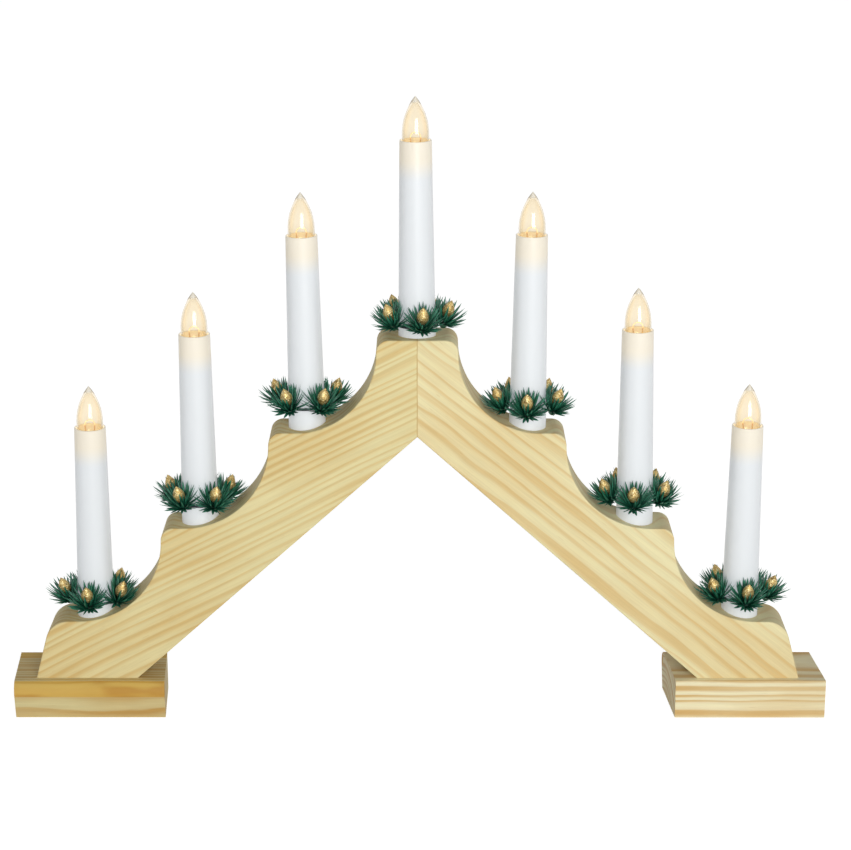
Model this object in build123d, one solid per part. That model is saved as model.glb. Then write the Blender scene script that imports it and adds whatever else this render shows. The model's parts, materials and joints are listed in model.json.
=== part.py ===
from build123d import *
import os
from math import asin, atan2, cos, degrees, pi, radians, sin, sqrt, tan

# Sizes in millimetres and angles in degrees.
# The front looks along -Y, the feet stand on Z = 0 and the candles stand in the plane Y = 0.

# Feet, with their overhang measured from the outer candles
foot_overhang = 40.7
foot_length = 74.0
foot_depth = 37.5
foot_height = 19.5
foot_back_shift = 2.0
nose_reach = 4.0
nose_height = 12.6
nose_bulge = 1.2
foot_edge_round = 0.8
foot_end_skew = 4.0

# Arms, with heights measured from the top of the feet
arm_thickness = 26.0
arm_end_inset = 11.7
arm_base_length = 50.3
arm_end_slope = 75.0
arm_end_radius = 11.5
apex_height = 124.3
first_shelf_height = 29.7
shelf_rise = 48.3
top_rise = 45.9
shelf_reach = 18.5
top_reach = 19.6
shelf_corner_radius = 6.2
edge_ease = 0.6

# Candles, counted from left to right
candle_pitch = 53.1
candles_per_side = 3
candle_leans = (0.4, -0.3, -0.9, -0.4, 0.6, -0.4, 0.3)
seat_depths = (9.6, 11.3, 11.5, 12.0, 11.2, 9.2, 8.5)
seat_clearance = 0.35
spigot_length = 12.0
tube_height = 93.5
tube_base_radius = 8.95
tube_rim_radius = 7.6
tube_rim_wall = 0.9
tube_foot_wall = 1.4
tube_shelf_radius = 5.5
rim_round = 0.35

# Lamp holder inside the tube
holder_depth = 10.6
holder_height = 14.0
holder_floor = 3.5
holder_clearance = 0.1
socket_shell_wall = 0.25
socket_shell_length = 9.4
socket_shell_gap = 0.05
screw_clearance = 0.08
contact_radius = 2.4
contact_thickness = 0.4
rivet_radius = 0.8
rivet_gap = 0.05

# Bulb, with heights measured from the rim of the tube
bulb_height = 20.6
bulb_radius = 6.4
bulb_widest_height = 1.5
glass_wall = 0.55
tip_wall = 1.0
shoulder_radius = 5.8
shoulder_depth = 3.4
flame_width_shares = (0.985, 0.855, 0.53, 0.25)
flame_height_shares = (0.24, 0.48, 0.74, 0.9)
flame_tip_slope = 52.0
neck_radius = 4.0
neck_top_depth = 8.6
neck_length = 6.2
cap_radius = 4.765
cap_collar_depth = 9.6
cap_length = 8.8
thread_pitch = 1.81
thread_depth = 0.42
thread_turns = 4
cap_bore_gap = 0.06
insulator_height = 1.2
insulator_radius = 2.6
tip_radius = 1.6
tip_height = 0.7
stem_height = 3.0
stem_gap = 0.05
lead_radius = 0.3
lead_spread = 2.4
filament_foot_height = 1.0
filament_rise = 2.6
filament_radius = 0.22

# Wreath, with the rings' heights measured from the shelves
ring_heights = (7.6, 10.2, 10.8, 5.2, 8.9, 11.0, 9.3)
ring_wire_radius = 0.65
ring_clearance = 0.32
wreath_turns = (-8.0, 36.0, 36.0, 11.0, -4.0, -7.0, 7.0)
sprigs = 5
sprig_gap = 0.25
sprig_elevation = 70.0
sprig_steepest = 80.0
sprig_step = 3.0
cup_radius = 1.9
cup_top_height = 0.9
stem_length = 2.1
stem_radius = 1.1
needle_slots = 14
needle_root_radius = 1.45
needle_length = 10.8
needle_width = 0.62
needle_thickness = 0.5
needle_tip_share = 0.55
needle_cones = (84.0, 56.0)
needle_folds = (0.0, 6.0, 12.0, 18.0)
needle_length_shares = (1.0, 0.85, 0.7, 0.55)
bud_length = 9.6
bud_radius = 3.0
bud_seat_radius = 1.6
bud_radius_shares = (0.97, 1.0, 0.72, 0.3)
bud_height_shares = (0.25, 0.42, 0.72, 0.93)
bud_test_shares = (0.2, 0.4, 0.6)
needle_test_shares = (0.3, 0.5, 0.75, 1.0)
wood_clearance = 0.5
tube_clearance = 0.5

# Wiring groove under the arms
groove_width = 8.0
groove_depth = 9.2
wire_hole_radius = 4.2
channel_height = 5.0
wire_radius = 0.8
wire_depth = 2.2
wire_spacing = 2.2
return_lane = 2.0
wire_bend_radius = 3.2
wire_end_gap = 0.3
wire_outlet_inset = 3.0
staple_width = 1.0
staple_thickness = 0.5
staple_leg = 6.0
staple_wood = 1.0
staple_place_share = 0.5

# Fasteners
dowel_radius = 3.0
dowel_length = 24.0
dowel_offset = 8.4
dowel_rise = 15.0
dowel_gap = 0.05
dowel_end_gap = 0.4
screw_radius = 2.0
screw_length = 34.0
screw_head_radius = 3.8
screw_head_height = 2.4
screw_recess = 4.0
screw_head_gap = 0.3
screw_foot_gap = 0.2
screw_wood_gap = 0.05
screw_point = 3.0
screw_point_radius = 0.5
screw_insets = (13.0, 42.0)
screw_offsets = (-7.0, 7.0)

# Room for cuts past a face
overrun = 2.0

# Places that follow from the sizes above
half_width = candles_per_side * candle_pitch + foot_overhang
arm_outer_x = half_width - arm_end_inset
arm_inner_x = arm_outer_x - arm_base_length
slope = atan2(apex_height, arm_inner_x)
apex_z = foot_height + apex_height
shelf_levels = [foot_height + first_shelf_height + shelf_rise * i for i in range(candles_per_side)]
top_z = shelf_levels[-1] + top_rise
levels = shelf_levels + [top_z]
half_thickness = arm_thickness / 2
candle_count = 2 * candles_per_side + 1
rim_z = spigot_length + tube_height
tube_taper = (tube_base_radius - tube_rim_radius) / tube_height
tube_bore_radius = tube_rim_radius - tube_rim_wall
lowest_ring = min(ring + seat for ring, seat in zip(ring_heights, seat_depths)) - spigot_length
tube_radius_at_ring = tube_base_radius - tube_taper * (lowest_ring - ring_wire_radius)
ring_radius = tube_radius_at_ring + ring_clearance + ring_wire_radius
sprig_radius = ring_radius + ring_wire_radius + sprig_gap + cup_radius
bud_seat_height = cup_top_height + stem_length
holder_top_z = rim_z - holder_depth
holder_bottom_z = holder_top_z - holder_height
socket_radius = cap_radius + screw_clearance


def candle_side(number):
    """Steps from the middle candle: negative on the left, positive on the right."""
    return number - 1 - candles_per_side


def shelf_level(number):
    """Height of the shelf under a candle."""
    return levels[candles_per_side - abs(candle_side(number))]


def candle_x(number):
    """Place of a candle along the width."""
    return candle_side(number) * candle_pitch


def seat_floor(number):
    """Height of the floor of a candle's seat."""
    return shelf_level(number) - seat_depths[number - 1]


def candle_place(number):
    """Location of a tube's bottom centre on the floor of its seat, leaning as it stands."""
    lean = candle_leans[number - 1]
    foot_z = seat_floor(number) + tube_base_radius * abs(sin(radians(lean)))
    return Location((candle_x(number), 0, foot_z), (0, lean, 0))


def underside_z(x, depth=0.0):
    """Height of the arms' sloping underside at x, or of the line that lies depth inside it."""
    return apex_z - abs(x) * tan(slope) + depth / cos(slope)


def concave_radius(index):
    """Radius of the hollow between a shelf and the next one up."""
    return levels[index + 1] - levels[index] - shelf_corner_radius


def neck_x(index):
    """Distance from the middle at which the neck below a shelf stands upright."""
    if index == candles_per_side:
        return top_reach
    return (candles_per_side - index) * candle_pitch + shelf_reach


def wood_top(x):
    """Height of the left arm's stepped upper edge, with x its distance from the middle."""
    for index in range(candles_per_side, 0, -1):
        neck = neck_x(index)
        if x <= neck - shelf_corner_radius:
            return levels[index]
        if x <= neck:
            rise = x - (neck - shelf_corner_radius)
            return levels[index] - shelf_corner_radius + sqrt(shelf_corner_radius ** 2 - rise ** 2)
        radius = concave_radius(index - 1)
        if x <= neck + radius:
            return levels[index - 1] + radius - sqrt(radius ** 2 - (neck + radius - x) ** 2)
    return levels[0]


def arm_outline():
    """Face of the left arm's front outline: end slope, stepped top, mitre and underside."""
    turn = radians(arm_end_slope)
    corner = -(arm_outer_x - first_shelf_height / tan(turn))
    tangent = arm_end_radius * tan(turn / 2)
    start = (-arm_outer_x, foot_height)
    end = (corner - tangent * cos(turn), levels[0] - tangent * sin(turn))
    edges = [Line(start, end)]
    edges.append(JernArc(end, (cos(turn), sin(turn)), arm_end_radius, -arm_end_slope))
    for index in range(candles_per_side):
        radius = concave_radius(index)
        hollow_start = (-neck_x(index + 1) - radius, levels[index])
        edges.append(Line(edges[-1] @ 1, hollow_start))
        edges.append(JernArc(edges[-1] @ 1, (1, 0), radius, 90))
        edges.append(JernArc(edges[-1] @ 1, (0, 1), shelf_corner_radius, -90))
    top = (0, top_z)
    apex = (0, apex_z)
    heel = (-arm_inner_x, foot_height)
    edges.append(Line(edges[-1] @ 1, top))
    edges.append(Line(top, apex))
    edges.append(Line(apex, heel))
    edges.append(Line(heel, start))
    return make_face(edges)


def eased_arm():
    """Left arm as sawn and sanded: its long edges are eased, its mitre and base are left sharp."""
    board = extrude(Plane.XZ * arm_outline(), amount=half_thickness, both=True)
    rim = []
    for edge in board.edges():
        box = edge.bounding_box()
        on_face = box.size.Y < edge_ease / 2
        on_mitre = box.min.X > -edge_ease / 2
        on_base = box.max.Z < foot_height + edge_ease / 2
        if on_face and not on_mitre and not on_base:
            rim.append(edge)
    return fillet(rim, edge_ease)


def seat_bores():
    """Stepped bores for the tubes, each with its wire hole down into the groove."""
    cuts = []
    for number in range(1, candle_count + 1):
        x = candle_x(number)
        floor_z = seat_floor(number)
        seat = Cylinder(tube_base_radius + seat_clearance, top_rise,
                        align=(Align.CENTER, Align.CENTER, Align.MIN))
        cuts.append(Pos(x, 0, floor_z) * seat)
        depth = floor_z - underside_z(x) + overrun + wire_hole_radius * tan(slope)
        hole = Cylinder(wire_hole_radius, depth, align=(Align.CENTER, Align.CENTER, Align.MAX))
        cuts.append(Pos(x, 0, floor_z) * hole)
    return cuts


def wire_groove():
    """Groove along the left arm's underside, from the mitre down to the foot."""
    far_x = -arm_inner_x - groove_depth / sin(slope) - overrun
    corners = [(0, underside_z(0, groove_depth)), (0, underside_z(0, -overrun)),
               (far_x, underside_z(far_x, -overrun)), (far_x, underside_z(far_x, groove_depth))]
    return extrude(Plane.XZ * make_face(Polyline(*corners, close=True)), amount=groove_width / 2, both=True)


def base_channels():
    """Channels in the arms' bases that lead the outer candles' wires into the sloping grooves."""
    outer_x = candle_pitch * candles_per_side
    channels = []
    for side in (-1, 1):
        length = outer_x - arm_inner_x + overrun
        channel = Box(length, groove_width, channel_height, align=(Align.CENTER, Align.CENTER, Align.MIN))
        channels.append(Pos(side * (outer_x - length / 2), 0, foot_height) * channel)
    return channels


def mitre_dowel_solids(gap=0.0, end_gap=0.0):
    """Two dowels across the mitre, one in front of and one behind the wire hole."""
    dowels = []
    for side in (-1, 1):
        dowel = Rot(0, 90, 0) * Cylinder(dowel_radius + gap, dowel_length + 2 * end_gap)
        dowels.append(Pos(0, side * dowel_offset, apex_z + dowel_rise) * dowel)
    return dowels


def foot_screw_places():
    """Places of the screws that come up through the feet: two in each, on either side of the wires."""
    places = []
    for side in (-1, 1):
        for inset, offset in zip(screw_insets, screw_offsets):
            places.append((side * (arm_outer_x - inset), offset))
    return places


def foot_screw_solid():
    """Wood screw standing on its head, with a plain shank and a point."""
    head = Cylinder(screw_head_radius, screw_head_height, align=(Align.CENTER, Align.CENTER, Align.MIN))
    shank = Pos(0, 0, screw_head_height) * Cylinder(
        screw_radius, screw_length - screw_point, align=(Align.CENTER, Align.CENTER, Align.MIN))
    point = Pos(0, 0, screw_head_height + screw_length - screw_point) * Cone(
        screw_radius, screw_point_radius, screw_point, align=(Align.CENTER, Align.CENTER, Align.MIN))
    return head + shank + point


def screw_pilot():
    """Hole in the arm around the screw's shank and point."""
    length = screw_recess + screw_length - foot_height + screw_wood_gap
    return Cylinder(screw_radius + screw_wood_gap, length, align=(Align.CENTER, Align.CENTER, Align.MIN))


def staple_planes():
    """Planes of the staples on the undersides, halfway between wire holes, looking into the wood."""
    planes = []
    for side in (-1, 1):
        for step in range(candles_per_side):
            x = side * candle_pitch * (step + staple_place_share)
            into_wood = (side * sin(slope), 0, cos(slope))
            planes.append(Plane(origin=(x, 0, underside_z(x)), x_dir=(0, 1, 0), z_dir=into_wood))
    return planes


def staple_solid():
    """Flat-wire staple: a crown over the groove and a leg in the wood on each side."""
    leg_place = groove_width / 2 + staple_wood + staple_thickness / 2
    crown = Box(2 * leg_place + staple_thickness, staple_width, staple_thickness,
                align=(Align.CENTER, Align.CENTER, Align.MAX))
    legs = []
    for side in (-1, 1):
        legs.append(Pos(side * leg_place, 0, 0) * Box(
            staple_thickness, staple_width, staple_leg, align=(Align.CENTER, Align.CENTER, Align.MIN)))
    return crown + legs


def arms():
    """Both arms with every bore, hole and groove cut."""
    plain = eased_arm() - wire_groove()
    screws = [Pos(x, y, foot_height) * screw_pilot() for x, y in foot_screw_places()]
    staples = [plane.location * staple_solid() for plane in staple_planes()]
    cuts = seat_bores() + base_channels() + mitre_dowel_solids(dowel_gap, dowel_end_gap) + screws + staples
    return plain - cuts, mirror(plain, about=Plane.YZ) - cuts


def foot_profile():
    """Cross-section of a foot, with its moulded nose at negative and its plain side at positive Y."""
    nose_edge = -foot_depth / 2
    plain_edge = foot_depth / 2
    nose_tip = nose_edge - nose_reach
    bulge_y = (nose_edge + nose_tip) / 2 - nose_bulge
    bulge_z = (foot_height + nose_height) / 2 + nose_bulge
    edges = [Line((nose_edge, 0), (nose_tip, nose_height))]
    edges.append(ThreePointArc((nose_tip, nose_height), (bulge_y, bulge_z), (nose_edge, foot_height)))
    edges.append(Line((nose_edge, foot_height), (plain_edge - foot_edge_round, foot_height)))
    edges.append(JernArc((plain_edge - foot_edge_round, foot_height), (1, 0), foot_edge_round, -90))
    edges.append(Line(edges[-1] @ 1, (plain_edge, 0)))
    edges.append(Line((plain_edge, 0), (nose_edge, 0)))
    return make_face(edges)


def foot_ends():
    """Room between a foot's two ends, which are sawn a little off square."""
    drift = foot_depth * tan(radians(foot_end_skew))
    corners = [(-foot_length / 2 + drift, -foot_depth), (foot_length / 2 + drift, -foot_depth),
               (foot_length / 2 - drift, foot_depth), (-foot_length / 2 - drift, foot_depth)]
    return extrude(make_face(Polyline(*corners, close=True)), amount=foot_height)


def foot(side):
    """Foot block of one side: the left one shows its nose in front, the right one behind."""
    strip = extrude(Plane.YZ * foot_profile(), amount=foot_length, both=True)
    block = strip & foot_ends()
    turned = Rot(0, 0, 0 if side < 0 else 180) * block
    centre_x = side * (half_width - foot_length / 2)
    cuts = []
    for x, y in foot_screw_places():
        if x * side > 0:
            hole = Cylinder(screw_radius + screw_foot_gap, foot_height + 2 * overrun)
            recess = Cylinder(screw_head_radius + screw_head_gap, 2 * screw_recess)
            cuts.append(Pos(x, y, foot_height / 2) * hole)
            cuts.append(Pos(x, y, 0) * recess)
    return Pos(centre_x, foot_back_shift, 0) * turned - cuts


def candle_tube():
    """Hollow tapered candle: straight spigot, bore for the lamp holder and wire space below it."""
    taper_top = tube_rim_radius
    outer = [(0, 0), (tube_base_radius, 0), (tube_base_radius, spigot_length), (taper_top, rim_z), (0, rim_z)]
    body = revolve(Plane.XZ * make_face(Polyline(*outer, close=True)), Axis.Z)
    bore = [(0, 0), (tube_base_radius - tube_foot_wall, 0), (tube_shelf_radius, holder_bottom_z),
            (tube_bore_radius, holder_bottom_z), (tube_bore_radius, rim_z), (0, rim_z)]
    tube = body - revolve(Plane.XZ * make_face(Polyline(*bore, close=True)), Axis.Z)
    rim_edges = tube.edges().filter_by(GeomType.CIRCLE).group_by(Axis.Z)[-1]
    return fillet(rim_edges, rim_round)


def lamp_holder():
    """Moulded holder for the bulb's screw cap, with a floor for the centre contact."""
    body = Cylinder(tube_bore_radius - holder_clearance, holder_height,
                    align=(Align.CENTER, Align.CENTER, Align.MIN))
    well = Pos(0, 0, holder_floor) * Cylinder(
        socket_radius + socket_shell_wall + socket_shell_gap, holder_height,
        align=(Align.CENTER, Align.CENTER, Align.MIN))
    rivet_hole = Cylinder(rivet_radius + rivet_gap, 2 * holder_floor + overrun)
    return Pos(0, 0, holder_bottom_z) * (body - well - rivet_hole)


def socket_shell():
    """Brass sleeve in the holder's well, in which the bulb's cap turns."""
    outer = Cylinder(socket_radius + socket_shell_wall, socket_shell_length,
                     align=(Align.CENTER, Align.CENTER, Align.MIN))
    inner = Cylinder(socket_radius, socket_shell_length, align=(Align.CENTER, Align.CENTER, Align.MIN))
    return Pos(0, 0, holder_bottom_z + holder_floor) * (outer - inner)


def centre_contact():
    """Contact disc on the holder's floor, with its rivet down through the floor."""
    disc = Cylinder(contact_radius, contact_thickness, align=(Align.CENTER, Align.CENTER, Align.MIN))
    rivet = Cylinder(rivet_radius, holder_floor, align=(Align.CENTER, Align.CENTER, Align.MAX))
    return Pos(0, 0, holder_bottom_z + holder_floor) * (disc + rivet)


def flame_points(wall, top_wall):
    """Points of the flame-shaped glass from its neck to its tip, drawn in by the wall."""
    points = [(neck_radius - wall, -neck_top_depth)]
    points.append((shoulder_radius - wall, -shoulder_depth))
    points.append((bulb_radius - wall, bulb_widest_height))
    for width_share, height_share in zip(flame_width_shares, flame_height_shares):
        radius = bulb_radius * width_share - wall
        if radius > wall:
            points.append((radius, bulb_height * height_share - top_wall * height_share))
    points.append((0, bulb_height - top_wall))
    return points


def flame_solid(wall, top_wall, overlap):
    """Solid of revolution inside the flame outline, down to the end of its neck."""
    points = flame_points(wall, top_wall)
    bottom = -neck_top_depth - neck_length - overlap
    tip = radians(flame_tip_slope)
    curve = Spline(*points, tangents=[(0, 1), (-cos(tip), sin(tip))])
    radius = neck_radius - wall
    sides = [Line((0, bottom), (radius, bottom)), Line((radius, bottom), points[0]), curve,
             Line(points[-1], (0, bottom))]
    return revolve(Plane.XZ * make_face(sides), Axis.Z)


def bulb_glass():
    """Thin flame-shaped glass, open at the end of its neck for the stem."""
    return Pos(0, 0, rim_z) * (flame_solid(0, 0, 0) - flame_solid(glass_wall, tip_wall, overrun))


def bulb_cap():
    """Screw cap: a thin cup with thread ridges, its insulator and its tip contact."""
    crest = cap_radius
    root = cap_radius - thread_depth
    top = -cap_collar_depth
    bottom = top - cap_length
    first_ridge = bottom + (cap_length - thread_turns * thread_pitch) / 2
    outline = [(0, bottom - insulator_height - tip_height), (tip_radius, bottom - insulator_height - tip_height),
               (tip_radius, bottom - insulator_height), (insulator_radius, bottom - insulator_height),
               (root, bottom), (root, first_ridge)]
    for turn in range(thread_turns):
        ridge = first_ridge + turn * thread_pitch
        outline.append((crest, ridge + thread_pitch / 2))
        outline.append((root, ridge + thread_pitch))
    bore_radius = neck_radius + cap_bore_gap
    neck_end = -neck_top_depth - neck_length - cap_bore_gap
    outline += [(root, top), (bore_radius, top), (bore_radius, neck_end), (0, neck_end)]
    section = Plane.XZ * make_face(Polyline(*outline, close=True))
    return Pos(0, 0, rim_z) * revolve(section, Axis.Z)


def bulb_filament():
    """Stem in the neck with two lead wires and the filament between their ends."""
    neck_end = -neck_top_depth - neck_length
    stem = Pos(0, 0, neck_end) * Cylinder(neck_radius - glass_wall - stem_gap, stem_height,
                                          align=(Align.CENTER, Align.CENTER, Align.MIN))
    foot_z = neck_end + stem_height - lead_radius
    pieces = []
    for side in (-1, 1):
        path = Line((side * lead_spread / 2, 0, foot_z), (side * lead_spread, 0, filament_foot_height))
        section = Plane(origin=path @ 0, z_dir=path % 0) * Circle(lead_radius)
        pieces.append(sweep(section, path=path))
    arch = ThreePointArc((-lead_spread, 0, filament_foot_height - lead_radius),
                         (0, 0, filament_foot_height + filament_rise),
                         (lead_spread, 0, filament_foot_height - lead_radius))
    pieces.append(sweep(Plane(origin=arch @ 0, z_dir=arch % 0) * Circle(filament_radius), path=arch))
    return Pos(0, 0, rim_z) * (stem + pieces)


def ring_z(number):
    """Height of a wreath's ring in its tube's frame."""
    return seat_depths[number - 1] + ring_heights[number - 1]


def wreath_ring(number):
    """Wire ring that carries the sprigs round the tube."""
    return Pos(0, 0, ring_z(number)) * Torus(ring_radius, ring_wire_radius)


def direction(azimuth, elevation):
    """Unit vector from an azimuth and an elevation in degrees."""
    level = cos(radians(elevation))
    return Vector(level * cos(radians(azimuth)), level * sin(radians(azimuth)), sin(radians(elevation)))


def sprig_centre(number, azimuth):
    """Centre of a sprig's cup in the tube's frame."""
    return Vector(sprig_radius * cos(radians(azimuth)), sprig_radius * sin(radians(azimuth)), ring_z(number))


def is_clear(number, point, margin):
    """Whether a point in the tube's frame stays off the tube, the ring and the arms."""
    radius = sqrt(point.X ** 2 + point.Y ** 2)
    if radius < tube_base_radius + tube_clearance + margin:
        return False
    ring_reach = ring_wire_radius + tube_clearance + margin
    if radius < ring_radius + ring_reach and abs(point.Z - ring_z(number)) < ring_reach:
        return False
    world = (candle_place(number) * Pos(point.X, point.Y, point.Z)).position
    if abs(world.Y) > half_thickness + wood_clearance + margin:
        return True
    for step in (-1, 0, 1):
        if world.Z - margin < wood_top(abs(world.X + step * margin)) + wood_clearance:
            return False
    return True


def sprig_axis(number, azimuth):
    """Direction of a sprig: outwards and up, and steeper where the wood rises beside the candle."""
    centre = sprig_centre(number, azimuth)
    elevation = sprig_elevation
    while elevation < sprig_steepest:
        axis = direction(azimuth, elevation)
        body = [centre + axis * (bud_seat_height + bud_length * share) for share in bud_test_shares]
        tip = centre + axis * (bud_seat_height + bud_length)
        if all(is_clear(number, spot, bud_radius) for spot in body) and is_clear(number, tip, needle_width):
            return axis
        elevation += sprig_step
    return direction(azimuth, elevation)


def needle_fits(number, azimuth, root, ray, length):
    """Whether a needle stays clear and inside its own sprig's share of the circle."""
    sector = 180 / sprigs - degrees(asin(needle_width / sprig_radius))
    for share in needle_test_shares:
        spot = root + ray * (length * share)
        away = (degrees(atan2(spot.Y, spot.X)) - azimuth + 180) % 360 - 180
        if abs(away) > sector or not is_clear(number, spot, needle_width / 2):
            return False
    return True


def sprig_needles(number, azimuth, axis):
    """Root, direction and length of a sprig's needles, fanned evenly round its bud in two cones.

    A needle that would touch something is shortened or folded up towards the bud.
    """
    centre = sprig_centre(number, azimuth)
    side = axis.cross(Vector(0, 0, 1)).normalized()
    other = axis.cross(side)
    needles = []
    for slot in range(needle_slots):
        turn = 2 * pi * slot / needle_slots
        outward = side * cos(turn) + other * sin(turn)
        root = centre + outward * needle_root_radius
        spread = needle_cones[slot % 2]
        tries = [(length, fold) for length in needle_length_shares for fold in needle_folds]
        for length_share, fold in tries:
            polar = radians(spread - fold)
            ray = axis * cos(polar) + outward * sin(polar)
            length = needle_length * length_share
            if needle_fits(number, azimuth, root, ray, length):
                needles.append((root, ray, length))
                break
    return needles


def needle_solid(root, ray, length, axis):
    """One four-sided needle from inside its cup to its narrow tip."""
    across = ray.cross(axis).normalized()
    tip_width = needle_width * needle_tip_share
    tip_thickness = needle_thickness * needle_tip_share
    base = Plane(origin=root, x_dir=across, z_dir=ray) * Rectangle(needle_width, needle_thickness)
    tip = Plane(origin=root + ray * length, x_dir=across, z_dir=ray) * Rectangle(tip_width, tip_thickness)
    return loft([base, tip], ruled=True)


def sprig_frames(number):
    """Azimuth and plane of each sprig of a wreath, with the sprig's axis as the plane's Z."""
    frames = []
    for index in range(sprigs):
        azimuth = wreath_turns[number - 1] - 90 + index * 360 / sprigs
        axis = sprig_axis(number, azimuth)
        level = direction(azimuth + 90, 0)
        frames.append((azimuth, Plane(origin=sprig_centre(number, azimuth), x_dir=level, z_dir=axis)))
    return frames


def wreath_needles(number):
    """Five sprigs, each with its needles and its stem fused to its cup in one go."""
    flat_top = Pos(0, 0, cup_top_height) * Box(
        2 * cup_radius, 2 * cup_radius, cup_radius, align=(Align.CENTER, Align.CENTER, Align.MIN))
    stem = Cylinder(stem_radius, bud_seat_height, align=(Align.CENTER, Align.CENTER, Align.MIN))
    cup = Sphere(cup_radius) - flat_top + stem
    solids = []
    for azimuth, frame in sprig_frames(number):
        needles = [needle_solid(*needle, frame.z_dir) for needle in sprig_needles(number, azimuth, frame.z_dir)]
        solids.append(frame.location * cup + needles)
    return solids


def wreath_buds(number):
    """Five pointed buds, each seated on its sprig's stem."""
    points = [(bud_seat_radius, 0)]
    points += [(bud_radius * r, bud_length * h) for r, h in zip(bud_radius_shares, bud_height_shares)]
    points.append((0, bud_length))
    edges = [Line((0, 0), points[0]), Spline(*points), Line((0, bud_length), (0, 0))]
    bud = Pos(0, 0, bud_seat_height) * revolve(Plane.XZ * make_face(edges), Axis.Z)
    return [frame.location * bud for azimuth, frame in sprig_frames(number)]


def wire_solid(points):
    """Insulated wire along straight runs joined by tangent arcs."""
    path = FilletPolyline(*points, radius=wire_bend_radius)
    section = Plane(origin=path @ 0, z_dir=path % 0) * Circle(wire_radius)
    return sweep(section, path=path)


def wire_drop(x, lane):
    """Where a wire that comes down at x turns into the arm's groove, by way of the base if need be."""
    low_z = foot_height + wire_depth
    if underside_z(x, wire_depth) > low_z:
        return [(x, lane, underside_z(x, wire_depth))]
    groove_x = (underside_z(0, wire_depth) - low_z) / tan(slope)
    return [(x, lane, low_z), (groove_x if x > 0 else -groove_x, lane, low_z)]


def wiring():
    """Series wiring: a link from each holder to the next, with a feed and a return at the right foot."""
    ends = []
    for number in range(1, candle_count + 1):
        lean = radians(candle_leans[number - 1])
        holder_z = seat_floor(number) + holder_bottom_z * cos(lean)
        ends.append((candle_x(number), holder_z - wire_end_gap - wire_spacing * abs(sin(lean))))
    wires = []
    for (x, z), (next_x, next_z) in zip(ends[:-1], ends[1:]):
        left = x + wire_spacing
        right = next_x - wire_spacing
        turns = wire_drop(left, 0) + wire_drop(right, 0)[::-1]
        wires.append(wire_solid([(left, 0, z)] + turns + [(right, 0, next_z)]))
    feed_x = ends[-1][0] + wire_spacing
    feed_drop = (feed_x, -return_lane, foot_height + wire_depth)
    wires.append(wire_solid([(feed_x, -return_lane, ends[-1][1]), feed_drop,
                             (arm_inner_x, -return_lane, foot_height + wire_depth)]))
    return_x = ends[0][0] - wire_spacing
    outlet_x = arm_inner_x - wire_outlet_inset
    wires.append(wire_solid([(return_x, return_lane, ends[0][1])] + wire_drop(return_x, return_lane)
                            + [(0, return_lane, underside_z(0, wire_depth)),
                               (outlet_x, return_lane, underside_z(outlet_x, wire_depth))]))
    return wires


def save(name, solids):
    """Write one node, a single solid or a group of separate ones, to its STEP file."""
    shape = Compound(children=solids) if isinstance(solids, list) else solids
    shape.label = name
    export_step(shape, f"parts/{name}.step")


def main():
    os.makedirs("parts", exist_ok=True)
    left_arm, right_arm = arms()
    save("left_arm", left_arm)
    save("right_arm", right_arm)
    save("left_foot", foot(-1))
    save("right_foot", foot(1))
    save("mitre_dowels", mitre_dowel_solids())
    screw_z = screw_recess - screw_head_height
    save("foot_screws", [Pos(x, y, screw_z) * foot_screw_solid() for x, y in foot_screw_places()])
    save("wire_staples", [plane.location * staple_solid() for plane in staple_planes()])
    save("wiring", wiring())
    places = [candle_place(number) for number in range(1, candle_count + 1)]
    save("lamp_holders", [place * lamp_holder() for place in places])
    save("socket_shells", [place * socket_shell() for place in places])
    save("centre_contacts", [place * centre_contact() for place in places])
    for number, place in enumerate(places, start=1):
        save(f"candle_tube_{number}", place * candle_tube())
        save(f"bulb_glass_{number}", place * bulb_glass())
        save(f"bulb_cap_{number}", place * bulb_cap())
        save(f"bulb_filament_{number}", place * bulb_filament())
        save(f"wreath_ring_{number}", place * wreath_ring(number))
        save(f"wreath_needles_{number}", [place * sprig for sprig in wreath_needles(number)])
        save(f"wreath_buds_{number}", [place * bud for bud in wreath_buds(number)])


main()
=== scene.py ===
import json
import math

import bpy
import numpy as np
from bpy.props import FloatProperty, FloatVectorProperty, IntProperty, PointerProperty
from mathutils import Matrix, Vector
from mathutils.bvhtree import BVHTree


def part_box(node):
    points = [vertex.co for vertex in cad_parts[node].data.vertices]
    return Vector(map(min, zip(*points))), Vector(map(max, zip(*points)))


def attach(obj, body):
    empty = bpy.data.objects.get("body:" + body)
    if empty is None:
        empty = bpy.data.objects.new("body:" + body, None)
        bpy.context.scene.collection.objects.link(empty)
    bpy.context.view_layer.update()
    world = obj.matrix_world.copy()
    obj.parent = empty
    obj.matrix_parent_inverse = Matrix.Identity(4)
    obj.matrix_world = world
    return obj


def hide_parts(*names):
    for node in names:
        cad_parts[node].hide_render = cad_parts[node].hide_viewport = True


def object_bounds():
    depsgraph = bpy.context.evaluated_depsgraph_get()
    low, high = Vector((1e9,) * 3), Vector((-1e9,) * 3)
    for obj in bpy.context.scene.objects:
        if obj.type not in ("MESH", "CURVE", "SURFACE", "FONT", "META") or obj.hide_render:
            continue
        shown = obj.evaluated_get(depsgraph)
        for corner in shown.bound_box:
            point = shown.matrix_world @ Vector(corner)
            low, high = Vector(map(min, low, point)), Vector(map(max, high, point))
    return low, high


bl_info = {
    "name": "Candle arch",
    "version": (1, 0, 0),
    "blender": (4, 5, 0),
    "location": "View3D > Sidebar > Candle arch",
    "description": "Dresses a pine candle arch with seven lit candles and their wreaths",
    "category": "Object",
}

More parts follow.
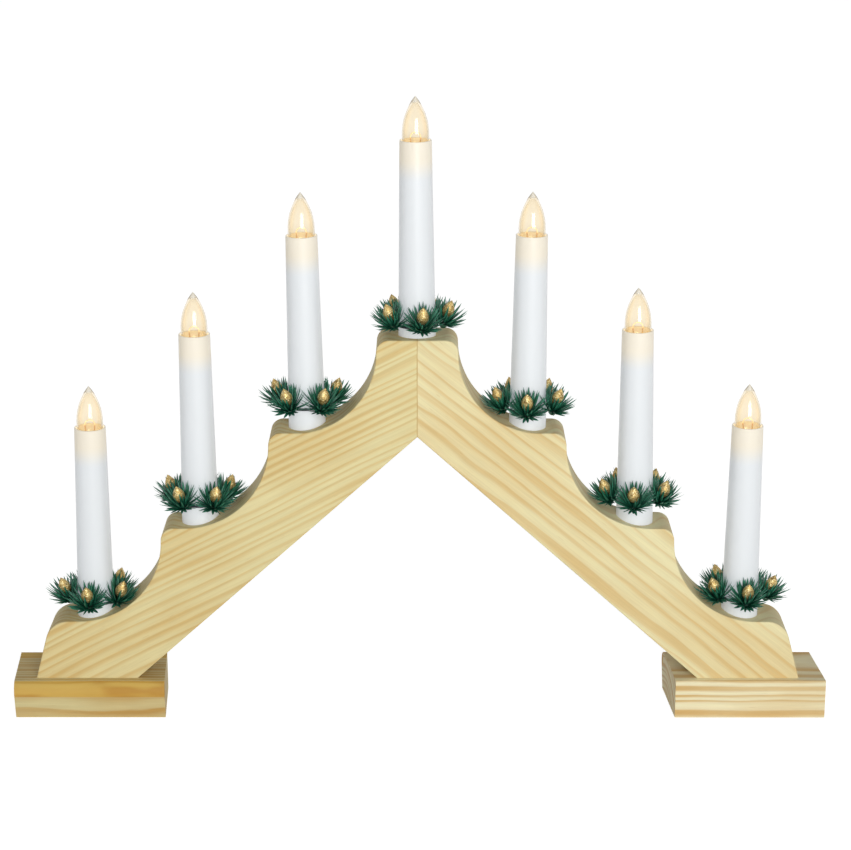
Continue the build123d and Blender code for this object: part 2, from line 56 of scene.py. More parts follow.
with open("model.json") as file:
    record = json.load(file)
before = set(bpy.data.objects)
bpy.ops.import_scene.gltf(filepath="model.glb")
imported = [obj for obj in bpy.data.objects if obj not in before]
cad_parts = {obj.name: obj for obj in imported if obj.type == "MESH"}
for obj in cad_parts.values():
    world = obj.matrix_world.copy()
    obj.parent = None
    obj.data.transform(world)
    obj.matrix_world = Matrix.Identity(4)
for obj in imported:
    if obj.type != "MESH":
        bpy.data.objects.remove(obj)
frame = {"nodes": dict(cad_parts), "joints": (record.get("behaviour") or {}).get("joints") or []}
cad_low, cad_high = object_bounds()

CANDLES = range(1, 8)
SPRIGS = 5
MM = 0.001

# Moulded edge of the feet and the varnished band behind it, in mm
NOSE_REACH = 4.0
NOSE_HEIGHT = 12.6
BAND_WIDTH = 8.5

# Needles of a sprig: how many, their angle from the bud and their share of the full length
WHORLS = ((20, 90.0, 0.76), (20, 70.0, 0.92), (18, 52.0, 1.0), (15, 37.0, 1.0), (9, 24.0, 0.92))
NEEDLE_RINGS = 7

# Rise of a needle at which it is shortest, and at which it has its full length
LOW_RISES = (-0.45, 0.25)

# Random spread of the needles: turn as a share of the gap between two, lean in degrees, length and bend as
# shares of the full ones, and twist about their middle line in radians
TURN_SPREAD = 0.22
LEAN_SPREAD = 7
LENGTH_SPREAD = (0.88, 1.0)
BEND_SPREAD = (0.3, 1.4)
TWIST_SPREAD = 0.5

# Root of a needle as shares of its cup's radius: out from the bud's axis, and along it
ROOT_OUT = 0.72
ROOT_UP = 0.2

# Ways to keep a needle off what is near: degrees of fold, and the share of its length that is left. So many
# degrees of fold count as much as so large a loss of length.
FOLDS = range(0, 49, 6)
LENGTHS_LEFT = (1.0, 0.88, 0.76, 0.64, 0.52, 0.4)
FOLD_UNIT = 12
LOSS_UNIT = 0.2

# Distance that a needle keeps as a share of its width, and how many of its rings the cup hides
NEEDLE_MARGIN = 0.45
HIDDEN_RINGS = 2

# Just over 1, so that a needle's last ring keeps a little width
BLUNT = 1.0004

# Share of the painted highlight at a needle's root, kept low as painted shade deep in the sprig; it runs to 1
# at the tip
ROOT_HIGHLIGHT = 0.15

# Cup of a sprig: its rows, its columns, the opening left below in radians and the rise of its flat top as a
# share of its radius
CUP_ROWS = 9
CUP_COLUMNS = 16
CUP_OPENING = 0.15
CUP_TOP = 0.47

# Bud: its rows, its columns, the span of the rows from seat to tip and the least radius in m
BUD_ROWS = 46
BUD_COLUMNS = 54
BUD_SPAN = (0.004, 0.998)
BUD_LEAST = 0.00004

# Beads of a bud: how many round it, how many rows, and where along it they have gone and over what length
BEADS = 12
BEAD_ROWS = 11
BEADS_END = 0.72
BEADS_FADE = 0.22

# Scale that lets a material read its object in mm
IN_MM = (MM, MM, MM)

# Noise of the pine in waves a mm: along the grain, into the board and across its face
BEND_WAVES = (0.011, 0.03, 0.03)
RIPPLE_WAVES = (0.03, 0.11, 0.11)
FADING_WAVES = (0.012, 0.05, 0.05)
CLOUD_WAVES = (0.014, 0.05, 0.05)
FIBRE_WAVES = (0.05, 1.3, 1.3)
STREAK_WAVES = (0.12, 1.9, 1.9)

# Move of that noise in mm from one piece of wood to the next
SEED_STEP = (37.0, 11.0, 23.0)

# Rings of the pine: short ripples as a share of the long bends, waves a mm of their uneven spacing, rings
# that it moves them by, and how dark a ring is from its pale early wood to its dark late wood
RIPPLE_SHARE = 0.22
SPACING_WAVES = 0.16
SPACING_SHIFT = 2.4
RING_STOPS = ((0.0, 0.2), (0.25, 0.0), (0.5, 0.22), (0.76, 0.95), (0.9, 1.0), (1.0, 0.2))

# How strongly clouds, flecks, the bands under the varnish and the varnish itself cover the pine
CLOUD_SHARE = 0.3
FLECK_SHARE = 0.22
VARNISHED_BAND_SHARE = 0.6
VARNISH_SHARE = 0.88

# Distance from the joint in mm at which its line starts, and at which it is full
JOINT_FADE = (0.42, 0.12)

# Bend of the rings of the feet in mm, gloss of bare pine, and relief of its fibres in m
FOOT_WARP = 5.0
PINE_GLOSS = 0.18
PINE_RELIEF = 0.00012

# Share of its colour that brushed metal keeps in its dullest streaks, and the most that they cover
DULL_TINT = 0.6
DULL_SHARE = 0.35

# Most that a plastic darkens where it is uneven
MOTTLE = 0.06

# Heights between which a tube's light and its bore's light come up, as shares of the glow length
GLOW_FADE = (-1.5, -0.6)
BORE_FADE = (-1.0, -0.5)

# Shares of a bulb's height between which its tip turns dull
TIP_FADE = (0.83, 0.9)

# Floor: half its width, and how far it lies below the feet, in m
FLOOR_HALF = 6.0
FLOOR_DROP = 0.0002

# Lamp: its place, what it faces and its width, in m
KEY_PLACE = (0.35, -1.9, 0.62)
KEY_TARGET = (0, 0, 0.14)
KEY_SIZE = 1.1


def srgb(code):
    """Linear colour with full alpha from a six-digit web colour."""
    parts = np.array([int(code[i:i + 2], 16) / 255 for i in (0, 2, 4)])
    linear = np.where(parts <= 0.04045, parts / 12.92, ((parts + 0.055) / 1.055) ** 2.4)
    return (*linear.tolist(), 1.0)


def colour(name, description, code):
    """Colour property with a web colour as its default."""
    return FloatVectorProperty(name=name, description=description, subtype="COLOR", size=4,
                               min=0, max=1, default=srgb(code))


def length(name, description, millimetres):
    """Length property with its default in millimetres."""
    return FloatProperty(name=name, description=description, unit="LENGTH", min=0, default=millimetres * MM)


def number(name, description, value):
    """Plain number property."""
    return FloatProperty(name=name, description=description, default=value)


def angle(name, description, value):
    """Angle property with its default in degrees."""
    return FloatProperty(name=name, description=description, unit="ROTATION", default=math.radians(value))


class WoodSettings(bpy.types.PropertyGroup):
    left_pale: colour("Left arm", "Pale wood of the left arm", "E1D5A2")
    left_band: colour("Left arm's bands", "Grain bands of the left arm", "CEA964")
    right_pale: colour("Right arm", "Pale wood of the right arm", "E9DFB1")
    right_band: colour("Right arm's bands", "Grain bands of the right arm", "D2AB67")
    left_foot_pale: colour("Left foot", "Pale wood of the left foot", "D6CA98")
    left_foot_band: colour("Left foot's bands", "Grain bands of the left foot", "BD9654")
    right_foot_pale: colour("Right foot", "Pale wood of the right foot", "ECE4BF")
    right_foot_band: colour("Right foot's bands", "Grain bands of the right foot", "CBA25E")
    fleck: colour("Flecks", "Short dark streaks along the grain", "B58A4C")
    nose: colour("Moulding", "Varnished orange wood of the feet's moulded edges", "D6B157")
    nose_deep: colour("Deep moulding", "Darker patches of the varnished wood", "BD8C38")
    joint: colour("Joint line", "Soft brown line of glue where the arms meet", "BE9A5C")
    left_grain: angle("Left grain", "Rise of the grain on the left arm", 27.0)
    right_grain: angle("Right grain", "Rise of the grain on the right arm", -39.0)


class CandleSettings(bpy.types.PropertyGroup):
    body: colour("Tube", "Moulded white plastic of the candles", "CFD2D3")
    body_glow: colour("Tube's light", "Faint light that the whole tube lets through", "F2F7FF")
    body_strength: number("Tube's light strength", "Brightness of a tube below its lit top", 0.2)
    lit: colour("Lit tube", "Cream that the lit top of a tube shows", "DDD8CC")
    glow: colour("Glow", "Light that shines through the top of a tube", "FFECC8")
    glow_length: length("Glow length", "How far the light reaches down a tube", 13.0)
    glow_strength: number("Glow strength", "Brightness of the lit top of a tube", 0.2)
    bore_radius: length("Bore radius", "Radius of a tube's bore", 6.7)
    bore_strength: number("Bore strength", "Brightness of the lit inside of a tube", 0.5)


class BulbSettings(bpy.types.PropertyGroup):
    # Painted glow: the cream of the glass seen square on stands in for the light of the lit filament inside
    # it
    glass: colour("Glass", "Clear glass seen square on", "FCF5E6")
    edge: colour("Glass edge", "Clear glass seen edge on", "CEC8B8")
    amber: colour("Amber glass", "Warm light caught inside the glass", "F7EAD0")
    ends: colour("Glass ends", "Glass at the foot and towards the tip", "CBC5B4")
    light: colour("Light", "Warm light of the filament", "FFD9A0")
    lead: colour("Lead wires", "Wires that hold the filament", "D8A868")
    brass: colour("Brass", "Screw caps, shells and contacts", "C8A456")


class WreathSettings(bpy.types.PropertyGroup):
    needle: colour("Needle", "Dark green plastic of the needles", "0A3F2E")
    # Painted highlight: the lighter teal towards the tips stands in for light caught on the glossy needles
    needle_highlight: colour("Needle tip", "Lighter green towards the needles' tips", "2F8A6A")
    wire: colour("Ring", "Dark plastic of the wire rings", "16262C")
    gold: colour("Bud", "Gold paint of the buds", "C4A664")
    gold_dark: colour("Bud shade", "Brown that shows where the gold is thin", "6A4E1E")
    needle_length: length("Needle length", "Length of a full needle", 12.6)
    needle_width: length("Needle width", "Width of a needle at its widest", 1.7)
    needle_thickness: length("Needle thickness", "Thickness of a needle", 0.45)
    needle_bend: number("Needle bend", "Bend of a needle towards its bud as a share of its length", 0.2)
    low_share: number("Low share", "Length of a needle that points down as a share of the full one", 0.65)
    bud_length: length("Bud length", "Length of a bud from its cup", 9.6)
    bud_radius: length("Bud radius", "Radius of a bud at its widest", 3.0)
    bead_height: length("Bead height", "Height of the beads on a bud", 0.22)
    cup_radius: length("Cup radius", "Radius of the cup that holds a sprig", 1.9)
    cup_gap: length("Cup gap", "Gap between the ring and a cup in the frame", 0.25)
    cup_seat: length("Cup seat", "Height of a bud's seat above its cup's centre", 3.0)
    stem_radius: length("Stem radius", "Radius of the stem between a cup and its bud", 1.1)
    seed: IntProperty(name="Seed", description="Start of the wreaths' random draws", default=11)


class StageSettings(bpy.types.PropertyGroup):
    floor: colour("Floor", "Plain pale floor", "F4F4F2")
    key_power: number("Key power", "Power of the lamp in front, in watts", 27.5)
    world_light: number("World light", "Strength of the even light from all round", 0.28)
    floor_glow: number("Floor glow", "Share of its white that the floor shows in its own shade", 0.88)
    floor_shade: number("Floor shade", "Strength of the shadows that the camera sees on the floor", 0.5)
    lens: number("Lens", "Focal length of the camera in mm", 99.27)
    camera_tilt: angle("Camera tilt", "How far the camera looks down", 16.79)
    camera_turn: angle("Camera turn", "How far the camera is turned to the left", 0.0573)
    camera_place: FloatVectorProperty(name="Camera place", description="Where the camera stands",
                                      unit="LENGTH", size=3, default=(0.005, -1.0872, 0.4742))


class Graph:
    """Node tree of one material or world, with short calls that add nodes and join them."""

    def __init__(self, owner):
        self.owner = owner
        owner.use_nodes = True
        self.tree = owner.node_tree
        self.tree.nodes.clear()

    def put(self, kind, inputs, **settings):
        """Add a node. A socket given as a value is linked, any other value is set."""
        node = self.tree.nodes.new(kind)
        for key, value in settings.items():
            setattr(node, key, value)
        for key, value in inputs.items():
            if isinstance(value, bpy.types.NodeSocket):
                self.tree.links.new(value, node.inputs[key])
            else:
                node.inputs[key].default_value = value
        return node

    def place(self, location=(0, 0, 0), rotation=(0, 0, 0), scale=(1, 1, 1)):
        """Object coordinates seen from a frame with that place and turn, divided by its scale."""
        coordinates = self.put("ShaderNodeTexCoord", {}).outputs["Object"]
        inputs = {"Vector": coordinates, "Location": location, "Rotation": rotation, "Scale": scale}
        return self.put("ShaderNodeMapping", inputs, vector_type="TEXTURE").outputs["Vector"]

    def stretch(self, vector, scale):
        """Vector times a scale for each axis."""
        return self.put("ShaderNodeVectorMath", {0: vector, 1: scale}, operation="MULTIPLY").outputs["Vector"]

    def split(self, vector):
        """X, Y and Z of a vector."""
        outputs = self.put("ShaderNodeSeparateXYZ", {"Vector": vector}).outputs
        return outputs["X"], outputs["Y"], outputs["Z"]

    def math(self, operation, first, second=0.0):
        """One sum of two numbers or sockets."""
        return self.put("ShaderNodeMath", {0: first, 1: second}, operation=operation).outputs[0]

    def distance(self, first, second):
        """Square root of the sum of two squares."""
        squares = [self.math("MULTIPLY", value, value) for value in (first, second)]
        return self.math("SQRT", self.math("ADD", *squares))

    def noise(self, vector, scale=1.0, detail=2.0, rough=0.5):
        """Noise from 0 to 1 with that many waves a unit."""
        inputs = {"Vector": vector, "Scale": scale, "Detail": detail, "Roughness": rough}
        return self.put("ShaderNodeTexNoise", inputs).outputs["Fac"]

    def fit(self, value, low, high, to_low=0.0, to_high=1.0, smooth=True):
        """Value carried from one range to another and held at its ends."""
        kind = "SMOOTHSTEP" if smooth else "LINEAR"
        return self.put("ShaderNodeMapRange", {0: value, 1: low, 2: high, 3: to_low, 4: to_high},
                        interpolation_type=kind).outputs[0]

    def ramp(self, value, stops):
        """Grey from a list of places and levels."""
        node = self.put("ShaderNodeValToRGB", {"Fac": value})
        elements = node.color_ramp.elements
        while len(elements) < len(stops):
            elements.new(1)
        for element, (position, level) in zip(elements, stops):
            element.position = position
            element.color = (level, level, level, 1)
        return node.outputs["Color"]

    def mix(self, share, first, second, blend="MIX"):
        """Two colours mixed by a share."""
        return self.put("ShaderNodeMix", {0: share, 6: first, 7: second}, data_type="RGBA",
                        blend_type=blend).outputs[2]

    def seen(self):
        """1 on rays from the camera, and on those in gloss and glass, and 0 on the others."""
        ray = self.put("ShaderNodeLightPath", {}).outputs
        clear = self.math("MAXIMUM", ray["Is Glossy Ray"], ray["Is Transmission Ray"])
        return self.math("MAXIMUM", ray["Is Camera Ray"], clear)

    def bump(self, height, distance, strength):
        """Normal of a surface raised by height times distance."""
        return self.put("ShaderNodeBump", {"Height": height, "Distance": distance,
                                           "Strength": strength}).outputs["Normal"]

    def finish(self, **sockets):
        """Close the material with a Principled shader that has these sockets."""
        names = {key.replace("_", " ").title().replace("Ior", "IOR"): value for key, value in sockets.items()}
        shader = self.put("ShaderNodeBsdfPrincipled", names)
        self.put("ShaderNodeOutputMaterial", {"Surface": shader.outputs[0]})
        return self.owner


def pine(name, wood, shades, depth, grain, pith, spacing, warp, seed, strip=None):
    """Pine seen in the round: rings about a pith line, bent by noise and streaked along the grain.

    shades gives the pale wood and the bands, and depth how strongly the bands show. grain is the rise of the
    pith line in the XZ plane, and pith is its place across the face and into it. spacing is the width of a
    ring and warp how far the rings bend. strip is for the feet and described at varnish. Wood without a strip
    shows a dark line where the arms meet. All lengths are in mm.
    """
    graph = Graph(bpy.data.materials.new(name))
    local = graph.place(rotation=(0, -grain, 0), scale=IN_MM)
    _, deep, across = graph.split(local)
    shift = tuple(seed * step for step in SEED_STEP)
    shifted = graph.put("ShaderNodeVectorMath", {0: local, 1: shift}, operation="ADD").outputs["Vector"]
    slow = graph.noise(graph.stretch(shifted, BEND_WAVES), detail=1.5)
    quick = graph.noise(graph.stretch(shifted, RIPPLE_WAVES), detail=2.0)
    bend = graph.math("ADD", graph.math("MULTIPLY", graph.math("SUBTRACT", slow, 0.5), warp),
                      graph.math("MULTIPLY", graph.math("SUBTRACT", quick, 0.5), warp * RIPPLE_SHARE))
    radius = graph.distance(graph.math("SUBTRACT", across, pith[0]), graph.math("SUBTRACT", deep, pith[1]))
    radius = graph.math("ADD", radius, bend)
    outward = graph.put("ShaderNodeCombineXYZ", {"X": radius}).outputs[0]
    wander = graph.math("MULTIPLY", graph.noise(outward, scale=SPACING_WAVES, detail=1.0), SPACING_SHIFT)
    rings = graph.math("ADD", graph.math("DIVIDE", radius, spacing), wander)
    band = graph.ramp(graph.math("FRACT", rings), RING_STOPS)
    fading = graph.noise(graph.stretch(shifted, FADING_WAVES), detail=1.0)
    strength = graph.fit(fading, 0.3, 0.7, 0.6, 1.0)
    band = graph.math("MULTIPLY", band, graph.math("MULTIPLY", strength, depth))
    fibre = graph.noise(graph.stretch(shifted, FIBRE_WAVES), detail=3.0, rough=0.6)
    cloud = graph.fit(graph.noise(graph.stretch(shifted, CLOUD_WAVES), detail=2.0), 0.35, 0.68)
    tone = graph.mix(graph.math("MULTIPLY", cloud, CLOUD_SHARE), *shades)
    tone = graph.mix(band, tone, shades[1])
    streak = graph.fit(graph.noise(graph.stretch(shifted, STREAK_WAVES), detail=1.0), 0.71, 0.78)
    tone = graph.mix(graph.math("MULTIPLY", streak, FLECK_SHARE), tone, tuple(wood.fleck))
    shade = graph.fit(fibre, 0.25, 0.75, 0.95, 1.04)
    grey = graph.put("ShaderNodeCombineXYZ", {"X": shade, "Y": shade, "Z": shade}).outputs[0]
    tone = graph.mix(1.0, tone, grey, "MULTIPLY")
    if strip:
        tone = varnish(graph, wood, tone, band, quick, strip)
    else:
        tone = joint_line(graph, wood, tone, quick)
    relief = graph.math("ADD", graph.math("MULTIPLY", fibre, 0.6), graph.math("MULTIPLY", band, 0.4))
    return graph.finish(base_color=tone, roughness=graph.fit(fibre, 0.3, 0.7, 0.5, 0.64),
                        specular_ior_level=PINE_GLOSS, normal=graph.bump(relief, PINE_RELIEF, 0.5))


def varnish(graph, wood, tone, band, quick, strip):
    """Foot's wood with orange varnish on its moulded edge and in a band along its plain edge.

    strip gives the foot's Y centre, which way its moulded edge faces, its half depth, its height and the
    width of that band, in mm.
    """
    centre, facing, half_depth, height, band_width = strip
    local = graph.place(location=(0, centre * MM, 0), scale=(MM, MM * facing, MM))
    _, y, z = graph.split(local)
    cover = graph.math("MULTIPLY", graph.fit(y, -half_depth + 0.3, -half_depth - 0.3),
                       graph.fit(z, NOSE_HEIGHT - 0.5, NOSE_HEIGHT + 0.3))
    if band_width:
        behind = graph.fit(y, half_depth - band_width - 0.6, half_depth - band_width + 0.6)
        edge = graph.math("MULTIPLY", behind, graph.fit(z, height - 1.2, height - 0.6))
        cover = graph.math("MAXIMUM", cover, edge)
    orange = graph.mix(graph.fit(quick, 0.42, 0.62), tuple(wood.nose), tuple(wood.nose_deep))
    orange = graph.mix(graph.math("MULTIPLY", band, VARNISHED_BAND_SHARE), orange, tuple(wood.nose_deep))
    return graph.mix(graph.math("MULTIPLY", cover, VARNISH_SHARE), tone, orange)


def joint_line(graph, wood, tone, quick):
    """Wood with a soft uneven line down the middle, where the arms meet."""
    x = graph.split(graph.place(scale=IN_MM))[0]
    joint = graph.fit(graph.math("ABSOLUTE", x), *JOINT_FADE)
    share = graph.math("MULTIPLY", joint, graph.fit(quick, 0.3, 0.7, 0.35, 0.9))
    return graph.mix(share, tone, tuple(wood.joint))


def metal(name, tint, roughness, scratch_scale):
    """Metal with fine brushed variation in its gloss."""
    graph = Graph(bpy.data.materials.new(name))
    waves = (scratch_scale, scratch_scale, scratch_scale * 6)
    brushed = graph.noise(graph.stretch(graph.place(scale=IN_MM), waves), detail=3.0)
    rough = graph.fit(brushed, 0.3, 0.7, roughness * 0.7, roughness * 1.3)
    dull = tuple(DULL_TINT * c for c in tint[:3]) + (1.0,)
    tone = graph.mix(graph.fit(brushed, 0.3, 0.75, 0.0, DULL_SHARE), tint, dull)
    return graph.finish(base_color=tone, metallic=1.0, roughness=rough,
                        normal=graph.bump(brushed, 0.00002, 0.4))


def plastic(name, tint, roughness):
    """Moulded plastic with faint unevenness in its colour and surface."""
    graph = Graph(bpy.data.materials.new(name))
    local = graph.place(scale=IN_MM)
    uneven = graph.noise(graph.stretch(local, (0.5, 0.5, 0.2)), detail=3.0)
    tone = graph.mix(graph.fit(uneven, 0.3, 0.7, 0.0, MOTTLE), tint, (0.0, 0.0, 0.0, 1.0))
    rough = graph.fit(uneven, 0.3, 0.7, roughness * 0.9, roughness * 1.15)
    return graph.finish(base_color=tone, roughness=rough, normal=graph.bump(uneven, 0.00003, 0.3))


def lit_tube(name, candle, place, lean):
    """White tube with light shining through its top, strongest at the rim."""
    graph = Graph(bpy.data.materials.new(name))
    local = graph.place(location=place, rotation=(0, lean, 0), scale=IN_MM)
    x, y, z = graph.split(local)
    uneven = graph.noise(graph.stretch(local, (0.25, 0.25, 0.06)), detail=2.0)
    reach = candle.glow_length / MM
    bore = candle.bore_radius / MM
    lit = graph.fit(z, GLOW_FADE[0] * reach, GLOW_FADE[1] * reach)
    within = graph.fit(graph.distance(x, y), bore + 0.3, bore + 0.1)
    inside = graph.math("MULTIPLY", within, graph.fit(z, BORE_FADE[0] * reach, BORE_FADE[1] * reach))
    tone = graph.mix(graph.fit(uneven, 0.3, 0.7, 0.0, 0.05), tuple(candle.body), (0.6, 0.62, 0.64, 1.0))
    tone = graph.mix(lit, tone, tuple(candle.lit))
    glow = graph.fit(lit, 0.0, 1.0, candle.body_strength, candle.glow_strength, smooth=False)
    inner = graph.math("MULTIPLY", inside, candle.bore_strength)
    light = graph.mix(graph.math("MAXIMUM", lit, inside), tuple(candle.body_glow), tuple(candle.glow))
    return graph.finish(base_color=tone, roughness=graph.fit(uneven, 0.3, 0.7, 0.3, 0.38),
                        emission_color=light, emission_strength=graph.math("ADD", glow, inner),
                        normal=graph.bump(uneven, 0.00006, 0.3))


def bulb_glass(name, bulb, place, lean, height):
    """Clear glass with the filament's glow painted into it: cream where it is seen square on, amber beside
    that and grey-beige at its outline.

    The tip, where the glass runs together, lets less light through.
    """
    graph = Graph(bpy.data.materials.new(name))
    local = graph.place(location=place, rotation=(0, lean, 0), scale=IN_MM)
    z = graph.split(local)[2]
    facing = graph.put("ShaderNodeLayerWeight", {"Blend": 0.5}).outputs["Facing"]
    smear = graph.noise(graph.stretch(local, (0.4, 0.4, 0.25)), detail=1.5)
    uneven = graph.math("MULTIPLY", graph.math("SUBTRACT", smear, 0.5), 0.15)
    rim = graph.fit(graph.math("ADD", facing, uneven), 0.12, 0.62)
    # Painted glow of the lit filament: cream where the glass is seen square on
    tone = graph.mix(rim, tuple(bulb.glass), tuple(bulb.edge))
    caught = graph.math("MULTIPLY", graph.fit(facing, 0.08, 0.3), graph.fit(facing, 0.75, 0.42))
    tone = graph.mix(graph.math("MULTIPLY", caught, 0.6), tone, tuple(bulb.amber))
    foot = graph.fit(z, height * 0.3, 0.0, 0.0, 0.6)
    tip = graph.fit(z, height * 0.7, height, 0.0, 1.0)
    ends = graph.math("MULTIPLY", graph.math("ADD", foot, tip), graph.fit(rim, 0.0, 1.0, 0.3, 0.9))
    tone = graph.mix(ends, tone, tuple(bulb.ends))
    clear = graph.fit(z, TIP_FADE[0] * height, TIP_FADE[1] * height, 1.0, 0.0)
    return graph.finish(base_color=tone, roughness=0.03, ior=1.45, transmission_weight=clear,
                        emission_color=tuple(bulb.light),
                        emission_strength=graph.math("MULTIPLY", caught, 0.05))


def filament(name, bulb, place, lean):
    """Hot filament between two pale lead wires on a glass stem."""
    graph = Graph(bpy.data.materials.new(name))
    local = graph.place(location=place, rotation=(0, lean, 0), scale=IN_MM)
    hot = graph.fit(graph.split(local)[2], 0.6, 1.2)
    flicker = graph.noise(graph.stretch(local, (1.5, 1.5, 1.5)), detail=1.0)
    tone = graph.mix(hot, tuple(bulb.lead), tuple(bulb.light))
    power = graph.math("MULTIPLY", hot, graph.fit(flicker, 0.3, 0.7, 0.35, 0.5))
    return graph.finish(base_color=tone, roughness=0.4, metallic=0.2, emission_color=tuple(bulb.light),
                        emission_strength=graph.math("ADD", power, 0.2))


def dress(node, material):
    """Give a node of the frame a finished material."""
    piece = frame["nodes"][node]
    if not piece.material_slots:
        piece.data.materials.append(material)
    for slot in piece.material_slots:
        slot.material = material


def candle_axis(candle):
    """Unit vector along a candle, from the joint that lifts its wreath."""
    joint = next(j for j in frame["joints"] if j["name"] == f"wreath_{candle}_lift")
    return Vector(joint["axis"]).normalized()


def candle_lean(candle):
    """Angle of a candle from upright, in radians."""
    axis = candle_axis(candle)
    return math.atan2(axis.x, axis.z)


def ring_centre(candle):
    """Centre of a wreath's ring."""
    low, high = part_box(f"wreath_ring_{candle}")
    return (low + high) / 2


def rim_centre(candle):
    """Centre of a tube's rim."""
    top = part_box(f"candle_tube_{candle}")[1].z
    centre, axis = ring_centre(candle), candle_axis(candle)
    return centre + axis * ((top - centre.z) / axis.z)


def mesh_piece(name, points, faces, material, body):
    """New piece at the origin from arrays of points and faces, riding on a body."""
    mesh = bpy.data.meshes.new(name)
    mesh.from_pydata(points.reshape(-1, 3).tolist(), [], [list(face) for face in faces])
    mesh.validate()
    mesh.update()
    mesh.polygons.foreach_set("use_smooth", np.ones(len(mesh.polygons), bool))
    mesh.materials.append(material)
    piece = bpy.data.objects.new(name, mesh)
    bpy.context.scene.collection.objects.link(piece)
    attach(piece, body)
    return piece


def grid_faces(rows, columns, start=0):
    """Quads of a grid of points whose columns close on themselves."""
    row = np.arange(rows - 1)[:, None] * columns
    here = np.arange(columns)[None, :]
    there = (here + 1) % columns
    quads = np.stack([row + here, row + there, row + columns + there, row + columns + here], axis=-1)
    return (quads.reshape(-1, 4) + start).tolist()


def sprig_frames(candle, wreath):
    """Centre and axis of a wreath's five sprigs, and the ring's axis, as arrays.

    The buds repeat every fifth of a turn, so the angle of the mean of exp(5i turn) over their points is five
    times the wreath's turn. A cup's centre lies at the cup reach from the ring, and the point of its bud that
    is farthest from that centre is the tip, which gives the axis.
    """
    mesh = frame["nodes"][f"wreath_buds_{candle}"].data
    points = np.empty(len(mesh.vertices) * 3)
    mesh.vertices.foreach_get("co", points)
    points = points.reshape(-1, 3)
    centre, up = np.array(ring_centre(candle)), np.array(candle_axis(candle))
    right = np.cross((0, 1, 0), up)
    right /= np.linalg.norm(right)
    back = np.cross(up, right)
    away = points - centre
    turn = np.arctan2(away @ back, away @ right)
    start = np.angle(np.mean(np.exp(1j * SPRIGS * turn))) / SPRIGS
    low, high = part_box(f"wreath_ring_{candle}")
    reach = (high.y - low.y) / 2 + wreath.cup_gap + wreath.cup_radius
    frames = []
    for index in range(SPRIGS):
        azimuth = start + 2 * math.pi * index / SPRIGS
        cup = centre + reach * (math.cos(azimuth) * right + math.sin(azimuth) * back)
        near = np.abs(np.angle(np.exp(1j * (turn - azimuth)))) < math.pi / SPRIGS
        offsets = points[near] - cup
        tip = offsets[np.argmax(np.linalg.norm(offsets, axis=1))]
        frames.append((cup, tip / np.linalg.norm(tip)))
    return frames, up


def sprig_sides(axis, up):
    """Two unit vectors square to a sprig's axis: level to its right, and up along its face."""
    side = np.cross(axis, up)
    side /= np.linalg.norm(side)
    return side, np.cross(side, axis)


def clear_of(trees, path, margin, low_y, high_y):
    """Whether every point of a path keeps its margin from the trees' surfaces and stays in the depth."""
    if path[:, 1].min() < low_y or path[:, 1].max() > high_y:
        return False
    for point in path:
        for tree in trees:
            if tree.find_nearest(Vector(point), margin)[0] is not None:
                return False
    return True


def needle_path(root, ray, inward, reach, bend):
    """Middle line of a needle: root + reach * (s * ray + bend * s squared * inward), s from 0 to 1."""
    s = np.linspace(0, 1, NEEDLE_RINGS)[:, None]
    return root + reach * (s * ray + bend * s ** 2 * inward)


def choose_needles(candle, wreath, frames, up, rng):
    """Middle lines of a wreath's needles, in whorls round each bud, kept off what is near.

    A needle that would touch something is folded up towards its bud or shortened, whichever is less, and is
    left out if neither helps.
    """
    graph = bpy.context.evaluated_depsgraph_get()
    nodes = ("left_arm", "right_arm", f"candle_tube_{candle}", f"wreath_buds_{candle}")
    trees = [BVHTree.FromObject(frame["nodes"][node], graph) for node in nodes]
    tries = [(fold, left) for fold in FOLDS for left in LENGTHS_LEFT]
    tries.sort(key=lambda t: t[0] / FOLD_UNIT + (1 - t[1]) / LOSS_UNIT)
    margin = wreath.needle_width * NEEDLE_MARGIN
    paths = []
    for cup, axis in frames:
        side, face = sprig_sides(axis, up)
        for count, polar, share in WHORLS:
            start = rng.uniform(0, 2 * math.pi)
            for index in range(count):
                turn = start + 2 * math.pi * (index + rng.uniform(-TURN_SPREAD, TURN_SPREAD)) / count
                outward = math.cos(turn) * side + math.sin(turn) * face
                root = cup + outward * wreath.cup_radius * ROOT_OUT + axis * wreath.cup_radius * ROOT_UP
                lean = polar + rng.uniform(-LEAN_SPREAD, LEAN_SPREAD)
                full = wreath.needle_length * share * rng.uniform(*LENGTH_SPREAD)
                bend = wreath.needle_bend * rng.uniform(*BEND_SPREAD)
                for fold, left in tries:
                    tilt = math.radians(lean - fold)
                    ray = axis * math.cos(tilt) + outward * math.sin(tilt)
                    inward = axis * math.sin(tilt) - outward * math.cos(tilt)
                    reach = full * left * np.interp(ray @ up, LOW_RISES, (wreath.low_share, 1))
                    path = needle_path(root, ray, inward, reach, bend)
                    if clear_of(trees, path[HIDDEN_RINGS:], margin, cad_low.y, cad_high.y):
                        paths.append((path, ray, inward))
                        break
    return paths


def needle_surface(path, ray, inward, wreath, twist):
    """Points of one needle: a flat four-cornered section carried along its middle line.

    The half width is w * (0.62 + 0.38 sin(pi s)) * sqrt(1 - s squared), so it swells and runs to a point.
    """
    s = np.linspace(0, 1, NEEDLE_RINGS)
    side = np.cross(ray, inward)
    across = math.cos(twist) * side + math.sin(twist) * inward
    through = np.cross(ray, across)
    swell = (0.62 + 0.38 * np.sin(np.pi * s)) * np.sqrt(BLUNT - s ** 2)
    wide = swell[:, None] * wreath.needle_width / 2 * across
    thick = swell[:, None] * wreath.needle_thickness / 2 * through
    return np.stack([path + wide, path + thick, path - wide, path - thick], axis=1)


